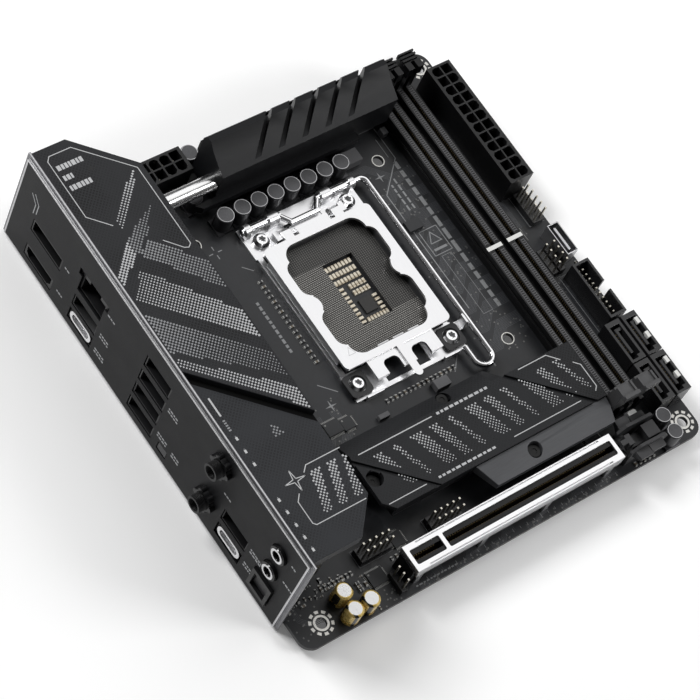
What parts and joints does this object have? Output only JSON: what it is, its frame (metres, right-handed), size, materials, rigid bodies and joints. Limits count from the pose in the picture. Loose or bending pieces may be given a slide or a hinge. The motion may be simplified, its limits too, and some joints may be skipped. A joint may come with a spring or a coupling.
{
  "type": "motherboard",
  "caption": "Small square computer mainboard with a processor socket, two memory slots, an armoured card slot, finned heat spreaders and a shrouded rear port panel.",
  "frame": {"origin": "axis of the rear case mounting hole beside the card slot, at the middle of the board thickness", "axes": "+X from the rear port panel towards the front edge; +Y from the card slot edge towards the top edge; +Z out of the component side"},
  "size_m": [0.1785, 0.1749, 0.0464],
  "materials": {
    "solder_mask": "dark solder mask with a faint weave",
    "socket_plastic": "moulded, matte",
    "contact_field": "dense field of plated contacts in dark plastic",
    "ceramic_parts": "fired ceramic with tinned ends",
    "plated_steel": "nickel plated, satin",
    "black_plastic": "moulded, matte",
    "bright_steel": "bright plated",
    "slot_plastic": "moulded, semi-gloss",
    "latch_plastic": "moulded, light grey",
    "armor_steel": "bright stamped sheet",
    "dark_grey_plastic": "moulded, matte",
    "contact_metal": "plated contact metal",
    "panel_paint": "fine powder coat",
    "rim_steel": "zinc plated, brushed",
    "shroud_paint": "fine matte coat",
    "port_shell": "tin plated stamped sheet",
    "antenna_metal": "black plated",
    "module_steel": "stamped shield",
    "sink_paint": "black anodised, brushed",
    "pipe_nickel": "nickel plated",
    "pad_grey": "soft filled pad",
    "choke_grey": "pressed powder, grey",
    "can_metal": "drawn can, satin",
    "can_gold": "printed sleeve",
    "cover_paint": "brushed, matte coat",
    "skirt_paint": "satin grey coat",
    "screw_black": "black oxide",
    "chip_plastic": "moulded epoxy"
  },
  "bodies": {
    "board": {"circuit_board": "solder_mask", "socket_body": "socket_plastic", "socket_contacts": "contact_field", "socket_capacitors": "ceramic_parts", "socket_back_plate": "plated_steel", "socket_frame": "plated_steel", "socket_corner_pads": "black_plastic", "socket_screws": "bright_steel", "memory_slot_a": "slot_plastic", "memory_slot_b": "slot_plastic", "card_slot": "slot_plastic", "card_slot_armor": "armor_steel", "card_guide": "dark_grey_plastic", "main_power_connector": "black_plastic", "main_power_pins": "contact_metal", "cpu_power_connector": "black_plastic", "cpu_power_pins": "contact_metal", "rear_panel": "panel_paint", "rear_panel_rim": "rim_steel", "shroud_upper": "shroud_paint", "shroud_lower": "shroud_paint", "display_sockets": "black_plastic", "network_jack": "port_shell", "usb_a_stack": "port_shell", "usb_port_pair": "port_shell", "usb_tongues": "black_plastic", "usb_c_shells": "armor_steel", "rear_switch": "black_plastic", "antenna_barrels": "antenna_metal", "antenna_nuts": "antenna_metal", "wireless_module": "module_steel", "audio_jacks": "black_plastic", "audio_rings": "bright_steel", "optical_port": "black_plastic", "vrm_heatsink": "sink_paint", "heat_pipe": "pipe_nickel", "rear_heatsink": "sink_paint", "thermal_pads": "pad_grey", "power_chokes": "choke_grey", "vrm_capacitors": "can_metal", "audio_capacitors": "can_gold", "drive_cover": "cover_paint", "drive_base": "sink_paint", "drive_skirt": "skirt_paint", "drive_screws": "screw_black", "drive_board": "solder_mask", "sata_ports": "slot_plastic", "usb3_header": "slot_plastic", "front_usb_c_header": "port_shell", "pin_headers": "black_plastic", "header_pins": "contact_metal", "ic_packages": "chip_plastic", "surface_parts": "ceramic_parts"},
    "load_plate": {"load_plate": "plated_steel"},
    "socket_lever": {"socket_lever": "bright_steel"},
    "memory_latch_a": {"memory_latch_a": "latch_plastic"},
    "memory_latch_b": {"memory_latch_b": "latch_plastic"},
    "card_latch": {"card_latch": "dark_grey_plastic"},
    "rear_button": {"rear_button": "black_plastic"},
    "optical_shutter": {"optical_shutter": "dark_grey_plastic"}
  },
  "joints": [
    {"name": "load_plate_hinge", "type": "hinge", "parent": "board", "child": "load_plate", "pos_m": [0.07915, 0.12141, 0.0044], "axis": [-1, 0, 0], "range_deg": [0, 100]},
    {"name": "lever_hinge", "type": "hinge", "parent": "board", "child": "socket_lever", "pos_m": [0.07915, 0.12831, 0.0049], "axis": [-1, 0, 0], "range_deg": [0, 118]},
    {"name": "memory_latch_a_hinge", "type": "hinge", "parent": "board", "child": "memory_latch_a", "pos_m": [0.13112, 0.01503, 0.0052], "axis": [1, 0, 0], "range_deg": [0, 22]},
    {"name": "memory_latch_b_hinge", "type": "hinge", "parent": "board", "child": "memory_latch_b", "pos_m": [0.14012, 0.01503, 0.0052], "axis": [1, 0, 0], "range_deg": [0, 22]},
    {"name": "card_latch_hinge", "type": "hinge", "parent": "board", "child": "card_latch", "pos_m": [0.127, 0.0013, 0.0062], "axis": [0, 1, 0], "range_deg": [0, 10], "stiffness_Nm_per_rad": 0.02},
    {"name": "rear_button_slide", "type": "slide", "parent": "board", "child": "rear_button", "axis": [1, 0, 0], "range_m": [0, 0.0008], "stiffness_N_per_m": 500},
    {"name": "optical_shutter_hinge", "type": "hinge", "parent": "board", "child": "optical_shutter", "pos_m": [-0.0126, 0.0182, 0.0109], "axis": [0, -1, 0], "range_deg": [0, 80], "stiffness_Nm_per_rad": 0.0004}
  ],
  "couplings": [
    {"joint": "lever_hinge", "follows": "load_plate_hinge", "ratio": 1.18}
  ]
}
